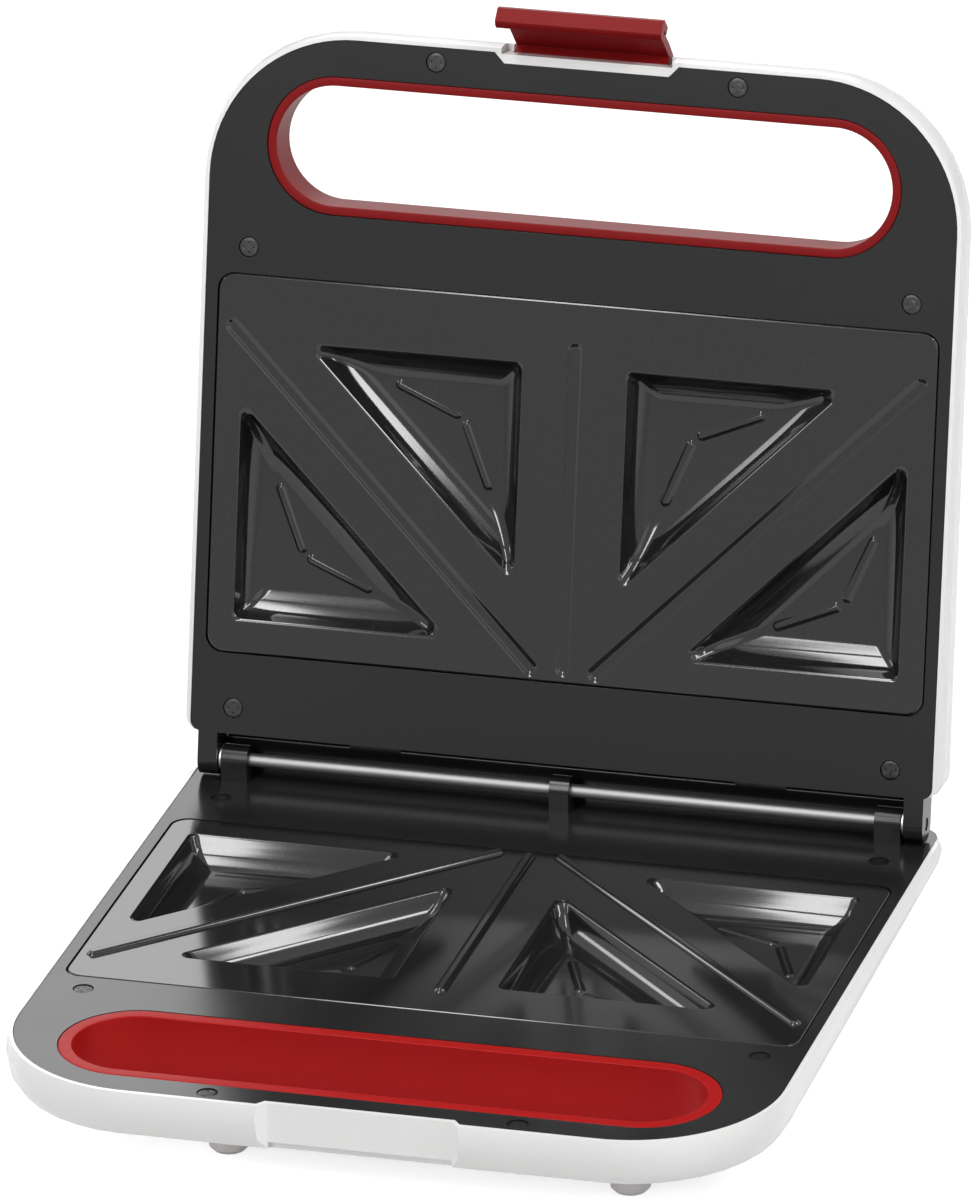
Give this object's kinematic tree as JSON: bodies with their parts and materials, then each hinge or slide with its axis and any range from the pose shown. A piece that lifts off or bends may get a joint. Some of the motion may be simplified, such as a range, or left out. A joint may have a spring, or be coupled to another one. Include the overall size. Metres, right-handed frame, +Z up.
{
  "type": "sandwich toaster",
  "caption": "Sandwich toaster with a hinged lid, a cast plate with triangular pockets in each half, a through handle slot and a front latch.",
  "frame": {"origin": "under the middle of the object's overall box as it rests with its lid open, on the plane of its feet", "axes": "+X to the right along the hinge rod, -Y towards the handles at the front, +Z up"},
  "size_m": [0.2344, 0.2856, 0.2915],
  "materials": {
    "white_shell": "gloss",
    "black_frame": "satin gloss",
    "coated_plate": "dark non-stick coating, satin gloss",
    "element_tube": "heat-stained",
    "zinc_steel": "zinc plated",
    "pan_sheet": "bright sheet",
    "red_plastic": "satin gloss",
    "foot_rubber": "matt",
    "dark_screw": "blackened",
    "bright_rod": "ground",
    "gland_rubber": "matt",
    "cream_plastic": "matt",
    "red_lens": "clear red",
    "green_lens": "clear green",
    "lamp_glass": "clear"
  },
  "bodies": {
    "base": {"base_shell": "white_shell", "base_frame": "black_frame", "lower_plate": "coated_plate", "lower_heater": "element_tube", "lower_heater_straps": "zinc_steel", "lower_reflector": "pan_sheet", "base_handle_liner": "red_plastic", "foot_front_left": "foot_rubber", "foot_front_right": "foot_rubber", "foot_rear_left": "foot_rubber", "foot_rear_right": "foot_rubber", "base_screws": "dark_screw", "lower_plate_screws": "zinc_steel", "hinge_rod": "bright_rod", "hinge_washers": "zinc_steel", "cord_gland": "gland_rubber", "terminal_block": "cream_plastic", "thermal_fuse": "cream_plastic"},
    "lid": {"lid_shell": "white_shell", "lid_frame": "black_frame", "upper_plate": "coated_plate", "upper_heater": "element_tube", "upper_heater_straps": "zinc_steel", "upper_reflector": "pan_sheet", "lid_handle_liner": "red_plastic", "lid_screws": "dark_screw", "upper_plate_screws": "zinc_steel", "thermostat": "cream_plastic", "power_lens": "red_lens", "ready_lens": "green_lens", "lamp_holder": "cream_plastic", "neon_lamps": "lamp_glass", "latch_pin": "bright_rod"},
    "latch": {"latch": "red_plastic"}
  },
  "joints": [
    {"name": "lid_hinge", "type": "hinge", "parent": "base", "child": "lid", "pos_m": [0, 0.08193, 0.0561], "axis": [1, 0, 0], "range_deg": [0, 102.2]},
    {"name": "latch_pivot", "type": "hinge", "parent": "lid", "child": "latch", "pos_m": [0, 0.13128, 0.27154], "axis": [1, 0, 0], "range_deg": [-15, 35]}
  ]
}
